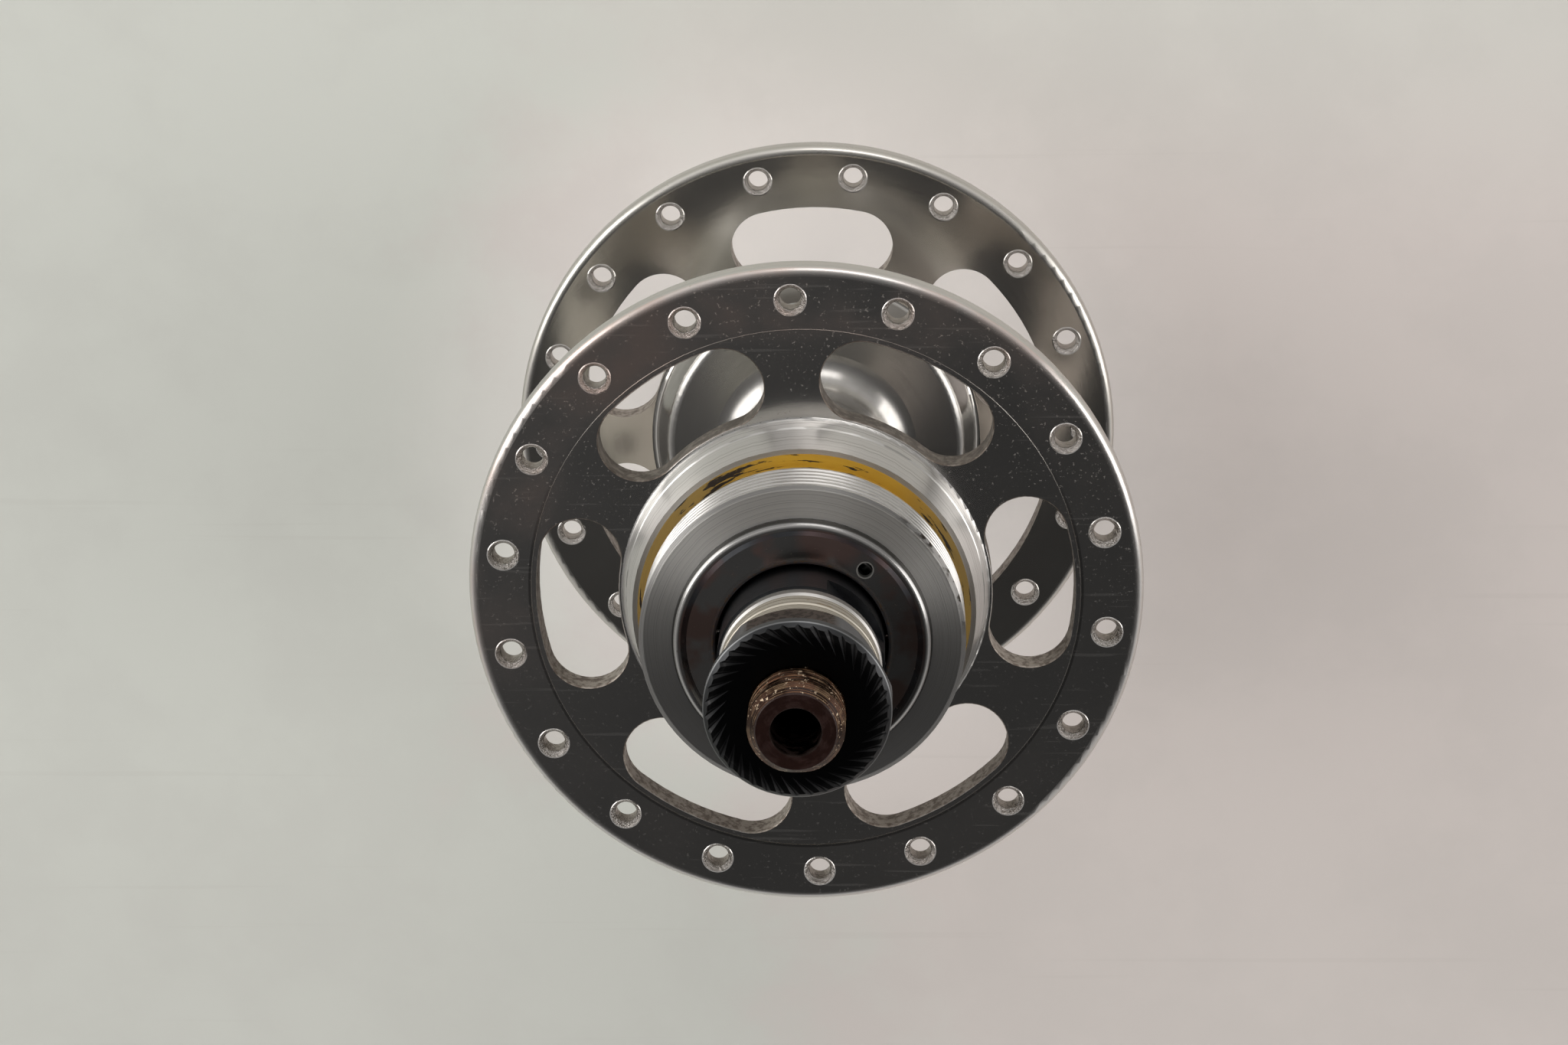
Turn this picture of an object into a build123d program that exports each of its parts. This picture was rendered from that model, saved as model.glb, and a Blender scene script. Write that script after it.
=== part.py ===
from build123d import *
from math import cos, hypot, pi, radians, sin, tan
import os

# Rear hub of a bicycle: a slotted high-flange shell on cup-and-cone bearings and a hollow axle.
# Millimetres. Z is the axle axis, pointing to the drive side. The origin is midway between the
# outer faces of the two locknuts. X runs to the right and Y up when the drive side is seen from +Z.

# Axle
OVER_LOCKNUT = 120.0
AXLE_PROTRUSION = 5.4
AXLE_DIAMETER = 9.9
AXLE_BORE = 5.2
AXLE_END_CHAMFER_RADIAL = 0.9
AXLE_END_CHAMFER_LENGTH = 1.2
AXLE_END_THREAD_TURNS = 4
AXLE_THREAD_TURNS = 31
AXLE_THREAD_PITCH = 1.0
AXLE_THREAD_DEPTH = 0.35
AXLE_THREAD_LAND = 0.55
AXLE_FLAT_DEPTH = 0.3
AXLE_FLAT_LENGTH = 22.0
AXLE_FLAT_ANGLE = -90.0
THREAD_CLEARANCE = 0.03

# Locknuts, spacers and lock washers, from the outside in
LOCKNUT_ACROSS_FLATS = 17.0
LOCKNUT_HEX_HEIGHT = 5.5
LOCKNUT_HEX_CHAMFER = 2.8
LOCKNUT_HEX_ANGLE = 4.4
LOCKNUT_FLANGE_DIAMETER = 19.2
LOCKNUT_FLANGE_HEIGHT = 1.4
LOCKNUT_EDGE_CHAMFER = 0.5
TOOTH_COUNT = 38
TOOTH_INNER_DIAMETER = 14.4
TOOTH_DEPTH = 0.32
TOOTH_SLANT = 49.0
TOOTH_HALF_ANGLE = 58.0
DRIVE_OUTER_SPACER_THICKNESS = 1.8
DRIVE_INNER_SPACER_THICKNESS = 2.5
LEFT_SPACER_THICKNESS = 2.8
SPACER_DIAMETER = 16.8
LOCK_WASHER_THICKNESS = 1.5
LOCK_WASHER_DIAMETER = 17.1
WASHER_EDGE_CHAMFER = 0.25

# Bearings
BALL_DIAMETER = 6.35
BALL_COUNT = 9
BALL_GAP = 0.22
BALL_DEPTH = 8.0
BALL_RUNNING_CLEARANCE = 0.02
RACE_RATIO = 1.08
CONTACT_ANGLE = 40.0
CUP_WALL = 0.65
CUP_DEPTH = 8.5
CUP_BORE_MARGIN = 0.6
CONE_SHOULDER_INSET = 0.8
CONE_STANDOUT = 6.7
CONE_NOSE_LENGTH = 3.4
CONE_FLAT_LENGTH = 3.0
CONE_FLAT_DEPTH = 1.3
CONE_FLAT_ANGLE = 40.0

# Dust caps
CAP_STEP = 0.35
CAP_SEAT_DEPTH = 4.0
CAP_SHEET = 0.8
CAP_BEAD_HEIGHT = 1.15
CAP_BEAD_WIDTH = 1.0
CAP_VALLEY_WIDTH = 0.6
CAP_VALLEY_DEPTH = 0.3
CAP_CROWN_HEIGHT = 1.25
CAP_HOLE_ROUND = 0.3
CAP_SEAT_CLEARANCE = 0.02
CAP_HOLE_GAP = 0.35
OIL_HOLE_DIAMETER = 1.6
OIL_HOLE_RADIUS = 10.8
OIL_HOLE_ANGLE = 51.5

# Hub shell: flanges, barrel and bosses
FLANGE_SPACING = 55.85
FLANGE_THICKNESS = 3.3
RIM_ROUND = 1.1
WEB_RECESS = 0.08
INNER_COLLAR_HEIGHT = 3.75
INNER_COLLAR_TOP_DIAMETER = 36.4
INNER_COLLAR_EDGE_ROUND = 1.6
INNER_COLLAR_ROOT_ROUND = 0.8
SHOULDER_SLOPE = 15.0
BARREL_DIAMETER = 17.0
BARREL_BORE = 13.0
FLARE_RADIUS = 5.5
DRIVE_BOSS_HEIGHT = 14.5
COLLAR_HEIGHT = 5.8
COLLAR_BASE_DIAMETER = 40.1
COLLAR_TOP_DIAMETER = 37.3
COLLAR_EDGE_ROUND = 0.3
COLLAR_LINE_HEIGHT = 1.5
COLLAR_LINE_DEPTH = 0.2
RELIEF_DIAMETER = 33.6
FREEWHEEL_THREAD_DIAMETER = 34.8
FREEWHEEL_THREAD_TURNS = 6
FREEWHEEL_THREAD_PITCH = 1.058
FREEWHEEL_THREAD_DEPTH = 0.4
FREEWHEEL_THREAD_LAND = 0.37
BOSS_CHAMFER = 0.5
BOSS_FACE_FALL = 0.3
LEFT_BOSS_DIAMETER = 33.0
LEFT_BOSS_ROUND = 1.2

# Spoke holes, and how far the rim, the web and the slots lie from their circle and the collar
SPOKE_CIRCLE_DIAMETER = 67.0
RIM_OUTSET = 3.7
WEB_STEP_INSET = 3.3
SLOT_STEP_GAP = 0.6
SLOT_COLLAR_GAP = 0.55
SPOKE_HOLES = 18
SPOKE_HOLE_DIAMETER = 2.4
COUNTERSINK_DIAMETER = 3.35
COUNTERSINK_DEPTH = 0.68
DRIVE_HOLE_ANGLE = 12.3
LEFT_HOLE_ANGLE = 1.9
SLOT_COUNT = 6
SLOT_SPAN = 45.6
SLOT_CHAMFER = 0.12
DRIVE_SLOT_ANGLE = 3.0
LEFT_SLOT_ANGLE = 30.8

# Places along the axle
LOCKNUT_FACE = OVER_LOCKNUT / 2
AXLE_END = LOCKNUT_FACE + AXLE_PROTRUSION
LOCKNUT_SEAT = LOCKNUT_FACE - LOCKNUT_FLANGE_HEIGHT - LOCKNUT_HEX_HEIGHT
DRIVE_INNER_SPACER_FACE = LOCKNUT_SEAT - DRIVE_OUTER_SPACER_THICKNESS
DRIVE_WASHER_FACE = DRIVE_INNER_SPACER_FACE - DRIVE_INNER_SPACER_THICKNESS
LEFT_WASHER_FACE = LOCKNUT_SEAT - LEFT_SPACER_THICKNESS
DRIVE_BOSS_FACE = DRIVE_WASHER_FACE - LOCK_WASHER_THICKNESS - CONE_STANDOUT
LEFT_BOSS_FACE = LEFT_WASHER_FACE - LOCK_WASHER_THICKNESS - CONE_STANDOUT
DRIVE_FLANGE_FACE = DRIVE_BOSS_FACE - DRIVE_BOSS_HEIGHT
DRIVE_FLANGE_BACK = DRIVE_FLANGE_FACE - FLANGE_THICKNESS
LEFT_FLANGE_FACE = DRIVE_FLANGE_BACK - FLANGE_SPACING
LEFT_FLANGE_BACK = DRIVE_FLANGE_FACE - FLANGE_SPACING

# Sizes that follow from the ones above
AXLE_RADIUS = AXLE_DIAMETER / 2
AXLE_FLAT_HEIGHT = AXLE_RADIUS - AXLE_FLAT_DEPTH
THREADED_BORE_RADIUS = AXLE_RADIUS + THREAD_CLEARANCE
BALL_RADIUS = BALL_DIAMETER / 2
BALL_CIRCLE_RADIUS = (BALL_DIAMETER + BALL_GAP) / (2 * sin(pi / BALL_COUNT))
RACE_RADIUS = BALL_RADIUS * RACE_RATIO
RACE_OFFSET = RACE_RADIUS - BALL_RADIUS - BALL_RUNNING_CLEARANCE
RACE_OFFSET_RADIAL = RACE_OFFSET * cos(radians(CONTACT_ANGLE))
RACE_OFFSET_AXIAL = RACE_OFFSET * sin(radians(CONTACT_ANGLE))
CUP_MOUTH_RADIUS = BALL_CIRCLE_RADIUS - RACE_OFFSET_RADIAL + RACE_RADIUS
CUP_RADIUS = CUP_MOUTH_RADIUS + CUP_WALL
CUP_BORE_RADIUS = BALL_CIRCLE_RADIUS - RACE_OFFSET_RADIAL + CUP_BORE_MARGIN
CAP_RADIUS = CUP_RADIUS + CAP_STEP
CONE_SHOULDER_RADIUS = BALL_CIRCLE_RADIUS - CONE_SHOULDER_INSET
CAP_HOLE_RADIUS = CONE_SHOULDER_RADIUS + CAP_HOLE_GAP
FLANGE_RADIUS = SPOKE_CIRCLE_DIAMETER / 2 + RIM_OUTSET
WEB_STEP_RADIUS = SPOKE_CIRCLE_DIAMETER / 2 - WEB_STEP_INSET
BARREL_RADIUS = BARREL_DIAMETER / 2
FLARE_FOOT_RADIUS = BARREL_RADIUS + FLARE_RADIUS * (1 - sin(radians(SHOULDER_SLOPE)))
COLLAR_BASE_RADIUS = COLLAR_BASE_DIAMETER / 2
COLLAR_TOP_RADIUS = COLLAR_TOP_DIAMETER / 2
INNER_COLLAR_TOP_RADIUS = INNER_COLLAR_TOP_DIAMETER / 2
SLOT_OUTER_RADIUS = WEB_STEP_RADIUS - SLOT_STEP_GAP
SLOT_INNER_RADIUS = COLLAR_BASE_RADIUS + SLOT_COLLAR_GAP
SLOT_MIDDLE_RADIUS = (SLOT_OUTER_RADIUS + SLOT_INNER_RADIUS) / 2
SLOT_WIDTH = SLOT_OUTER_RADIUS - SLOT_INNER_RADIUS
RELIEF_RADIUS = RELIEF_DIAMETER / 2
FREEWHEEL_THREAD_RADIUS = FREEWHEEL_THREAD_DIAMETER / 2
LEFT_BOSS_RADIUS = LEFT_BOSS_DIAMETER / 2
RING_MATCH = 0.01


def arc(start, end, centre):
    """The shorter arc from start to end about a centre."""
    radius = hypot(start[0] - centre[0], start[1] - centre[1])
    across = (start[0] + end[0] - 2 * centre[0], start[1] + end[1] - 2 * centre[1])
    scale = radius / hypot(*across)
    middle = (centre[0] + across[0] * scale, centre[1] + across[1] * scale)
    return ThreePointArc(start, middle, end)


def turned(*pieces):
    """A turned solid from lines and arcs given as radius and height."""
    outline = Curve() + list(pieces)
    return revolve(Plane.XZ * make_face(outline), Axis.Z)


def turned_polygon(*points):
    """A turned solid from corner points given as radius and height."""
    return turned(Polyline(*points, close=True))


def on_side(piece, side, height):
    """Carry a piece built with its outer side up to a height on the drive or the left end."""
    flipped = piece if side > 0 else Rot(0, 180, 0) * piece
    return Pos(0, 0, side * height) * flipped


def thread_points(radius, depth, pitch, land, turns, end):
    """Ring-shaped thread ridges on a shaft, the last one ending at a height, as radius and height."""
    flank = (pitch - land) / 2
    points = []
    for turn in range(turns):
        crest = end - (turns - 1 - turn) * pitch
        points += [(radius - depth, crest - land - flank), (radius, crest - land), (radius, crest)]
    return points


def axle_ridges(turns, end):
    """Thread ridges of the axle, the last one ending at a height."""
    return thread_points(
        AXLE_RADIUS, AXLE_THREAD_DEPTH, AXLE_THREAD_PITCH, AXLE_THREAD_LAND, turns, end
    )


def circle_angles(count, first):
    """Even angles round a circle, in degrees."""
    return [first + 360.0 / count * index for index in range(count)]


def axle():
    """Hollow axle with a flat near each end, and threads with a relief under the locknut's face."""
    root_radius = AXLE_RADIUS - AXLE_THREAD_DEPTH
    end_ridges = axle_ridges(AXLE_END_THREAD_TURNS, AXLE_END - AXLE_END_CHAMFER_LENGTH)
    relief = (root_radius, end_ridges[0][1] - AXLE_THREAD_PITCH)
    flank = (AXLE_THREAD_PITCH - AXLE_THREAD_LAND) / 2
    inner_ridges = axle_ridges(AXLE_THREAD_TURNS, relief[1] - flank)
    upper = [
        (AXLE_RADIUS, inner_ridges[0][1] - AXLE_THREAD_DEPTH),
        *inner_ridges,
        relief,
        *end_ridges,
        (AXLE_RADIUS - AXLE_END_CHAMFER_RADIAL, AXLE_END),
        (AXLE_BORE / 2, AXLE_END),
    ]
    lower = [(radius, -height) for radius, height in reversed(upper)]
    body = turned_polygon(*lower, *upper)
    for side in (1, -1):
        middle = side * (AXLE_END - AXLE_FLAT_LENGTH / 2)
        flat = Pos(AXLE_FLAT_HEIGHT, 0, middle) * Box(
            AXLE_DIAMETER, AXLE_DIAMETER, AXLE_FLAT_LENGTH, align=(Align.MIN, Align.CENTER, Align.CENTER)
        )
        body -= Rot(0, 0, AXLE_FLAT_ANGLE) * flat
    return body


def threaded_ring(radius, thickness, chamfer):
    """A plain ring on the axle, its outer face at height 0, both outer edges chamfered."""
    return turned_polygon(
        (THREADED_BORE_RADIUS, 0),
        (radius - chamfer, 0),
        (radius, -chamfer),
        (radius, chamfer - thickness),
        (radius - chamfer, -thickness),
        (THREADED_BORE_RADIUS, -thickness),
    )


def spacer(thickness):
    """Plain spacer ring."""
    return threaded_ring(SPACER_DIAMETER / 2, thickness, WASHER_EDGE_CHAMFER)


def lock_washer():
    """Lock washer whose hole has a flat that keys it to the axle."""
    ring = threaded_ring(LOCK_WASHER_DIAMETER / 2, LOCK_WASHER_THICKNESS, WASHER_EDGE_CHAMFER)
    tongue = Cylinder(
        THREADED_BORE_RADIUS, LOCK_WASHER_THICKNESS, align=(Align.CENTER, Align.CENTER, Align.MAX)
    )
    beyond_flat = Pos(AXLE_FLAT_HEIGHT + THREAD_CLEARANCE, 0, 0) * Box(
        AXLE_DIAMETER, AXLE_DIAMETER, LOCK_WASHER_THICKNESS, align=(Align.MIN, Align.CENTER, Align.MAX)
    )
    return ring + Rot(0, 0, AXLE_FLAT_ANGLE) * (tongue & beyond_flat)


def locknut_tooth():
    """Cutter for one slanted V groove in a locknut's face at height 0, running out inwards."""
    outer_radius = LOCKNUT_FLANGE_DIAMETER / 2
    inner_radius = TOOTH_INNER_DIAMETER / 2
    run = (outer_radius - inner_radius) / cos(radians(TOOTH_SLANT))
    root = Vector(inner_radius, 0, 0)
    along = Vector(cos(radians(TOOTH_SLANT)), sin(radians(TOOTH_SLANT)), -TOOTH_DEPTH / run).normalized()
    half_width = TOOTH_DEPTH * 2 * tan(radians(TOOTH_HALF_ANGLE))
    section_plane = Plane(origin=root, z_dir=along, x_dir=Vector(0, 0, 1).cross(along))
    section = make_face(
        Polyline((0, 0), (half_width, TOOTH_DEPTH * 2), (-half_width, TOOTH_DEPTH * 2), close=True)
    )
    return extrude(section_plane * section, amount=run * 2)


def locknut():
    """Locknut with a hexagon inside and a serrated round flange outside, its face at height 0."""
    flange_radius = LOCKNUT_FLANGE_DIAMETER / 2
    corner_radius = LOCKNUT_ACROSS_FLATS / 2 / cos(pi / 6)
    bottom = -LOCKNUT_FLANGE_HEIGHT - LOCKNUT_HEX_HEIGHT
    flange = turned_polygon(
        (THREADED_BORE_RADIUS, 0),
        (flange_radius - LOCKNUT_EDGE_CHAMFER, 0),
        (flange_radius, -LOCKNUT_EDGE_CHAMFER),
        (flange_radius, -LOCKNUT_FLANGE_HEIGHT),
        (THREADED_BORE_RADIUS, -LOCKNUT_FLANGE_HEIGHT),
    )
    outline = Rot(0, 0, LOCKNUT_HEX_ANGLE) * RegularPolygon(corner_radius, 6)
    hexagon = Pos(0, 0, bottom) * extrude(outline, amount=LOCKNUT_HEX_HEIGHT)
    limit = turned_polygon(
        (THREADED_BORE_RADIUS, -LOCKNUT_FLANGE_HEIGHT),
        (flange_radius, -LOCKNUT_FLANGE_HEIGHT),
        (flange_radius, bottom + LOCKNUT_HEX_CHAMFER),
        (LOCKNUT_ACROSS_FLATS / 2, bottom),
        (THREADED_BORE_RADIUS, bottom),
    )
    nut = flange + (hexagon & limit)
    tooth = locknut_tooth()
    return nut - [Rot(0, 0, angle) * tooth for angle in circle_angles(TOOTH_COUNT, 0)]


def cone():
    """Bearing cone, its outer end at height 0, with two wrench flats beside that end."""
    ball_height = -CONE_STANDOUT - BALL_DEPTH
    centre = (BALL_CIRCLE_RADIUS + RACE_OFFSET_RADIAL, ball_height - RACE_OFFSET_AXIAL)
    nose_radius = centre[0] - RACE_RADIUS
    shoulder_rise = (RACE_RADIUS**2 - (centre[0] - CONE_SHOULDER_RADIUS) ** 2) ** 0.5
    race_top = (CONE_SHOULDER_RADIUS, centre[1] + shoulder_rise)
    race_bottom = (nose_radius, centre[1])
    nose_end = ball_height - CONE_NOSE_LENGTH
    body = turned(
        Polyline(
            race_top,
            (CONE_SHOULDER_RADIUS, 0),
            (THREADED_BORE_RADIUS, 0),
            (THREADED_BORE_RADIUS, nose_end),
            (nose_radius, nose_end),
            race_bottom,
        ),
        arc(race_bottom, race_top, centre),
    )
    for angle in (CONE_FLAT_ANGLE, CONE_FLAT_ANGLE + 180):
        flat = Pos(CONE_SHOULDER_RADIUS - CONE_FLAT_DEPTH, 0, 0) * Box(
            CONE_SHOULDER_RADIUS,
            CONE_SHOULDER_RADIUS * 2,
            CONE_FLAT_LENGTH,
            align=(Align.MIN, Align.CENTER, Align.MAX),
        )
        body -= Rot(0, 0, angle) * flat
    return body


def bearing_cup():
    """Pressed-in bearing cup, placed from the boss face at height 0."""
    centre = (BALL_CIRCLE_RADIUS - RACE_OFFSET_RADIAL, -BALL_DEPTH - RACE_OFFSET_AXIAL)
    race_depth = (RACE_RADIUS**2 - (CUP_BORE_RADIUS - centre[0]) ** 2) ** 0.5
    race_top = (CUP_MOUTH_RADIUS, centre[1])
    race_bottom = (CUP_BORE_RADIUS, centre[1] - race_depth)
    cup_end = -CAP_SEAT_DEPTH - CUP_DEPTH
    return turned(
        Polyline(
            race_top,
            (CUP_MOUTH_RADIUS, -CAP_SEAT_DEPTH),
            (CUP_RADIUS, -CAP_SEAT_DEPTH),
            (CUP_RADIUS, cup_end),
            (CUP_BORE_RADIUS, cup_end),
            race_bottom,
        ),
        arc(race_bottom, race_top, centre),
    )


def ball(side, boss_face, angle):
    """One bearing ball in its race."""
    place = Pos(BALL_CIRCLE_RADIUS, 0, side * (boss_face - BALL_DEPTH))
    return Rot(0, 0, angle) * place * Sphere(BALL_RADIUS)


def dust_cap():
    """Flat sheet-metal dust cap with a rounded bead outside, placed from the boss face at height 0."""
    bead_inner = CAP_RADIUS - CAP_BEAD_WIDTH
    bead_foot = CAP_BEAD_HEIGHT - CAP_BEAD_WIDTH
    hole_centre = (CAP_HOLE_RADIUS + CAP_HOLE_ROUND, CAP_CROWN_HEIGHT - CAP_HOLE_ROUND)
    bead_centre = (bead_inner, bead_foot)
    outer_foot = (CAP_RADIUS, bead_foot)
    bead_top = (bead_inner, CAP_BEAD_HEIGHT)
    valley = (bead_inner - CAP_VALLEY_WIDTH, CAP_BEAD_HEIGHT - CAP_VALLEY_DEPTH)
    crown = (hole_centre[0], CAP_CROWN_HEIGHT)
    hole_edge = (CAP_HOLE_RADIUS, hole_centre[1])
    inner_valley = (valley[0], valley[1] - CAP_SHEET)
    inner_top = (bead_inner, CAP_BEAD_HEIGHT - CAP_SHEET)
    inner_foot = (CAP_RADIUS - CAP_SHEET, bead_foot)
    body = turned(
        Polyline(
            inner_foot,
            (CAP_RADIUS - CAP_SHEET, -CAP_SEAT_DEPTH),
            (CAP_RADIUS, -CAP_SEAT_DEPTH),
            outer_foot,
        ),
        arc(outer_foot, bead_top, bead_centre),
        Polyline(bead_top, valley, crown),
        arc(crown, hole_edge, hole_centre),
        Polyline(hole_edge, (CAP_HOLE_RADIUS, CAP_CROWN_HEIGHT - CAP_SHEET), inner_valley, inner_top),
        arc(inner_top, inner_foot, bead_centre),
    )
    oil_hole = Rot(0, 0, OIL_HOLE_ANGLE) * Pos(OIL_HOLE_RADIUS, 0, 0) * Cylinder(
        OIL_HOLE_DIAMETER / 2, 2 * (CAP_CROWN_HEIGHT + CAP_SHEET)
    )
    return body - oil_hole


def shell_bore():
    """Points down the inside of the shell, from the drive boss face to the left one."""
    seat_radius = CAP_RADIUS + CAP_SEAT_CLEARANCE
    steps = []
    for side, face in ((1, DRIVE_BOSS_FACE), (-1, LEFT_BOSS_FACE)):
        points = [
            (seat_radius, side * face),
            (seat_radius, side * (face - CAP_SEAT_DEPTH)),
            (CUP_RADIUS, side * (face - CAP_SEAT_DEPTH)),
            (CUP_RADIUS, side * (face - CAP_SEAT_DEPTH - CUP_DEPTH)),
            (BARREL_BORE / 2, side * (face - CAP_SEAT_DEPTH - CUP_DEPTH)),
        ]
        steps += points if side > 0 else reversed(points)
    return steps


def left_boss_outline():
    """Left boss from its end face to the web of its flange."""
    foot = (LEFT_BOSS_RADIUS + LEFT_BOSS_ROUND, LEFT_FLANGE_FACE + WEB_RECESS)
    root = (LEFT_BOSS_RADIUS, foot[1] - LEFT_BOSS_ROUND)
    return [
        Polyline(
            (CAP_RADIUS + CAP_SEAT_CLEARANCE, -LEFT_BOSS_FACE),
            (LEFT_BOSS_RADIUS - BOSS_CHAMFER, -LEFT_BOSS_FACE),
            (LEFT_BOSS_RADIUS, BOSS_CHAMFER - LEFT_BOSS_FACE),
            root,
        ),
        arc(root, foot, (foot[0], root[1])),
    ]


def barrel_end(inner_face, outward):
    """Height where the straight barrel meets the flare of a flange."""
    slope = radians(SHOULDER_SLOPE)
    shoulder_drop = (INNER_COLLAR_TOP_RADIUS - FLARE_FOOT_RADIUS) * tan(slope)
    return inner_face - outward * (INNER_COLLAR_HEIGHT + shoulder_drop + FLARE_RADIUS * cos(slope))


def inner_collar_outline(inner_face, outward):
    """Tapered collar inside a flange, its sloping shoulder and the flare down to the barrel."""
    flare_neck = (BARREL_RADIUS, barrel_end(inner_face, outward))
    flare_centre = (BARREL_RADIUS + FLARE_RADIUS, flare_neck[1])
    flare_foot = (FLARE_FOOT_RADIUS, flare_neck[1] + outward * FLARE_RADIUS * cos(radians(SHOULDER_SLOPE)))
    return [
        Polyline(
            (COLLAR_BASE_RADIUS, inner_face),
            (INNER_COLLAR_TOP_RADIUS, inner_face - outward * INNER_COLLAR_HEIGHT),
            flare_foot,
        ),
        arc(flare_foot, flare_neck, flare_centre),
    ]


def flange_outline(outer_face, outward, foot_radius):
    """One flange from its outer face round the rim to the barrel, in drawing order from the web."""
    inner_face = outer_face - outward * FLANGE_THICKNESS
    web_face = outer_face - outward * WEB_RECESS
    rim_inner = FLANGE_RADIUS - RIM_ROUND
    outer_corner = (rim_inner, outer_face - outward * RIM_ROUND)
    inner_corner = (rim_inner, inner_face + outward * RIM_ROUND)
    outer_rim = (FLANGE_RADIUS, outer_corner[1])
    inner_rim = (FLANGE_RADIUS, inner_corner[1])
    return [
        Polyline(
            (foot_radius, web_face),
            (WEB_STEP_RADIUS, web_face),
            (WEB_STEP_RADIUS + WEB_RECESS, outer_face),
            (rim_inner, outer_face),
        ),
        arc((rim_inner, outer_face), outer_rim, outer_corner),
        Polyline(outer_rim, inner_rim),
        arc(inner_rim, (rim_inner, inner_face), inner_corner),
        Polyline((rim_inner, inner_face), (COLLAR_BASE_RADIUS, inner_face)),
        *inner_collar_outline(inner_face, outward),
    ]


def drive_boss_outline():
    """Drive boss from the web: rounded root, tapered collar, relief and freewheel thread."""
    web_face = DRIVE_FLANGE_FACE - WEB_RECESS
    collar_face = DRIVE_FLANGE_FACE + COLLAR_HEIGHT
    line_height = DRIVE_FLANGE_FACE + COLLAR_LINE_HEIGHT
    taper = (COLLAR_BASE_RADIUS - COLLAR_TOP_RADIUS) / COLLAR_HEIGHT
    line_radius = COLLAR_BASE_RADIUS - taper * COLLAR_LINE_HEIGHT
    foot = (COLLAR_BASE_RADIUS + COLLAR_EDGE_ROUND, web_face)
    root = (COLLAR_BASE_RADIUS, web_face + COLLAR_EDGE_ROUND)
    ridges = thread_points(
        FREEWHEEL_THREAD_RADIUS,
        FREEWHEEL_THREAD_DEPTH,
        FREEWHEEL_THREAD_PITCH,
        FREEWHEEL_THREAD_LAND,
        FREEWHEEL_THREAD_TURNS,
        DRIVE_BOSS_FACE - BOSS_CHAMFER,
    )
    relief_end = ridges[0][1] + RELIEF_RADIUS - ridges[0][0]
    return [
        arc(foot, root, (foot[0], root[1])),
        Polyline(
            root,
            (line_radius, line_height - COLLAR_LINE_DEPTH),
            (line_radius - COLLAR_LINE_DEPTH, line_height),
            (line_radius - COLLAR_LINE_DEPTH / 2, line_height + COLLAR_LINE_DEPTH),
            (COLLAR_TOP_RADIUS, collar_face),
            (RELIEF_RADIUS, collar_face),
            (RELIEF_RADIUS, relief_end),
            *ridges,
            (FREEWHEEL_THREAD_RADIUS - BOSS_CHAMFER, DRIVE_BOSS_FACE - BOSS_FACE_FALL),
            (CAP_RADIUS + CAP_SEAT_CLEARANCE, DRIVE_BOSS_FACE),
        ),
    ]


def slot_cutter(angle):
    """Kidney slot cutter, tall enough to go through a flange."""
    end_reach = SLOT_WIDTH / 2 / SLOT_MIDDLE_RADIUS * 180 / pi
    arc_span = SLOT_SPAN - 2 * end_reach
    centre_line = CenterArc((0, 0), SLOT_MIDDLE_RADIUS, angle - arc_span / 2, arc_span)
    return extrude(SlotArc(centre_line, SLOT_WIDTH), amount=FLANGE_THICKNESS, both=True)


def spoke_hole_cutter():
    """Through hole with a countersink from each face, its middle at height 0."""
    hole = SPOKE_HOLE_DIAMETER / 2
    straight = FLANGE_THICKNESS / 2 - COUNTERSINK_DEPTH
    slope = (COUNTERSINK_DIAMETER / 2 - hole) / COUNTERSINK_DEPTH
    mouth = hole + slope * 2 * COUNTERSINK_DEPTH
    end = straight + 2 * COUNTERSINK_DEPTH
    return turned_polygon(
        (0, -end), (mouth, -end), (hole, -straight), (hole, straight), (mouth, end), (0, end)
    )


def shell_blank():
    """Turned shell before the slots and holes are cut."""
    barrel = Polyline(
        (BARREL_RADIUS, barrel_end(LEFT_FLANGE_BACK, -1)),
        (BARREL_RADIUS, barrel_end(DRIVE_FLANGE_BACK, 1)),
    )
    return turned(
        Polyline(*shell_bore()),
        *left_boss_outline(),
        *flange_outline(LEFT_FLANGE_FACE, -1, LEFT_BOSS_RADIUS + LEFT_BOSS_ROUND),
        barrel,
        *flange_outline(DRIVE_FLANGE_FACE, 1, COLLAR_BASE_RADIUS + COLLAR_EDGE_ROUND),
        *drive_boss_outline(),
    )


def ring_edges(shell, radius, height):
    """The turned edges of the shell with one radius at one height."""
    edges = shell.edges().filter_by(GeomType.CIRCLE)
    level = edges.filter_by_position(Axis.Z, height - RING_MATCH, height + RING_MATCH)
    return [edge for edge in level if abs(edge.radius - radius) < RING_MATCH]


def rounded_blank():
    """Turned shell with the edges and roots of its inner collars rounded."""
    shell = shell_blank()
    for inner_face, outward in ((DRIVE_FLANGE_BACK, 1), (LEFT_FLANGE_BACK, -1)):
        shoulder_face = inner_face - outward * INNER_COLLAR_HEIGHT
        shell = fillet(ring_edges(shell, INNER_COLLAR_TOP_RADIUS, shoulder_face), INNER_COLLAR_EDGE_ROUND)
        shell = fillet(ring_edges(shell, COLLAR_BASE_RADIUS, inner_face), INNER_COLLAR_ROOT_ROUND)
    return shell


def slot_edges(shell, height):
    """The edges of the slots on a web face."""
    reach = SLOT_WIDTH / 2 + SLOT_CHAMFER / 2
    edges = []
    for edge in shell.edges().filter_by_position(Axis.Z, height, height):
        middle = edge.position_at(0.5)
        if abs(hypot(middle.X, middle.Y) - SLOT_MIDDLE_RADIUS) < reach:
            edges.append(edge)
    return edges


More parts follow.
